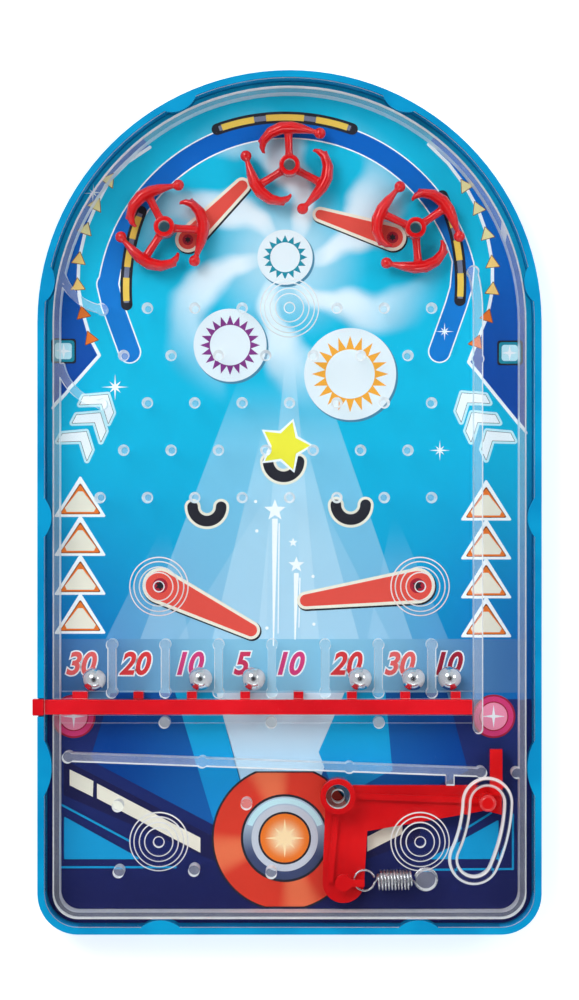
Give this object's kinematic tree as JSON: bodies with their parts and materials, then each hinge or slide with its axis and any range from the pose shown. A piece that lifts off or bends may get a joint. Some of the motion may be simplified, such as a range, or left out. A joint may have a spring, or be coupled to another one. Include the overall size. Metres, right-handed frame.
{
  "type": "handheld pinball game",
  "caption": "Flat arch-topped toy ball game with a clear cover, peg field, spinners, scoring bins, release gate and sprung launch lever.",
  "frame": {"origin": "centre of the tray's flat back face", "axes": "+Y along the length towards the arched top, +X to the player's right (the launch lane's side), +Z out of the clear front"},
  "size_m": [0.1697, 0.288, 0.02],
  "materials": {
    "blue_plastic": "glossy moulded plastic",
    "printed_card": "printed coated card",
    "clear_plastic": "clear moulded plastic",
    "red_plastic": "glossy moulded plastic",
    "spring_steel": "drawn wire",
    "polished_steel": "polished"
  },
  "bodies": {
    "case": {"back_tray": "blue_plastic", "backing_card": "printed_card", "cover_plate": "clear_plastic", "cover_wall": "clear_plastic", "trigger_rim": "clear_plastic", "bumper_rings": "clear_plastic", "peg_pins": "clear_plastic", "bin_dividers": "clear_plastic", "launch_lane_guide": "clear_plastic", "upper_deflector": "clear_plastic", "lower_deflector": "clear_plastic", "return_rail": "clear_plastic", "lane_nub": "clear_plastic", "gate_guides": "clear_plastic", "support_posts": "clear_plastic", "lever_post": "clear_plastic", "spring_post": "clear_plastic", "spinner_axles": "clear_plastic", "launch_spring": "spring_steel"},
    "spinner_left": {"spinner_left": "red_plastic"},
    "spinner_top": {"spinner_top": "red_plastic"},
    "spinner_right": {"spinner_right": "red_plastic"},
    "lever": {"launch_lever": "red_plastic"},
    "gate": {"ball_gate": "red_plastic"},
    "ball_1": {"ball_1": "polished_steel"},
    "ball_2": {"ball_2": "polished_steel"},
    "ball_3": {"ball_3": "polished_steel"},
    "ball_4": {"ball_4": "polished_steel"},
    "ball_5": {"ball_5": "polished_steel"},
    "ball_6": {"ball_6": "polished_steel"}
  },
  "joints": [
    {"name": "spinner_left_turn", "type": "hinge", "parent": "case", "child": "spinner_left", "pos_m": [-0.04189, 0.09214, 0.008], "axis": [0, 0, 1], "continuous": true},
    {"name": "spinner_top_turn", "type": "hinge", "parent": "case", "child": "spinner_top", "pos_m": [0, 0.1128, 0.008], "axis": [0, 0, 1], "continuous": true},
    {"name": "spinner_right_turn", "type": "hinge", "parent": "case", "child": "spinner_right", "pos_m": [0.04217, 0.09178, 0.008], "axis": [0, 0, 1], "continuous": true},
    {"name": "lever_pivot", "type": "hinge", "parent": "case", "child": "lever", "pos_m": [0.0162, -0.0982, 0.008], "axis": [0, 0, 1], "range_deg": [-25, 0], "stiffness_Nm_per_rad": 0.03, "springref_deg": 17.19, "deforming": ["launch_spring"]},
    {"name": "gate_slide", "type": "slide", "parent": "case", "child": "gate", "axis": [-1, 0, 0], "range_m": [0, 0.004]},
    {"name": "ball_1_roll", "type": "slide", "parent": "case", "child": "ball_1", "axis": [0, 1, 0], "range_m": [0, 0.04]},
    {"name": "ball_2_roll", "type": "slide", "parent": "case", "child": "ball_2", "axis": [0, 1, 0], "range_m": [0, 0.04]},
    {"name": "ball_3_roll", "type": "slide", "parent": "case", "child": "ball_3", "axis": [0, 1, 0], "range_m": [0, 0.04]},
    {"name": "ball_4_roll", "type": "slide", "parent": "case", "child": "ball_4", "axis": [0, 1, 0], "range_m": [0, 0.04]},
    {"name": "ball_5_roll", "type": "slide", "parent": "case", "child": "ball_5", "axis": [0, 1, 0], "range_m": [0, 0.04]},
    {"name": "ball_6_roll", "type": "slide", "parent": "case", "child": "ball_6", "axis": [0, 1, 0], "range_m": [0, 0.04]}
  ]
}
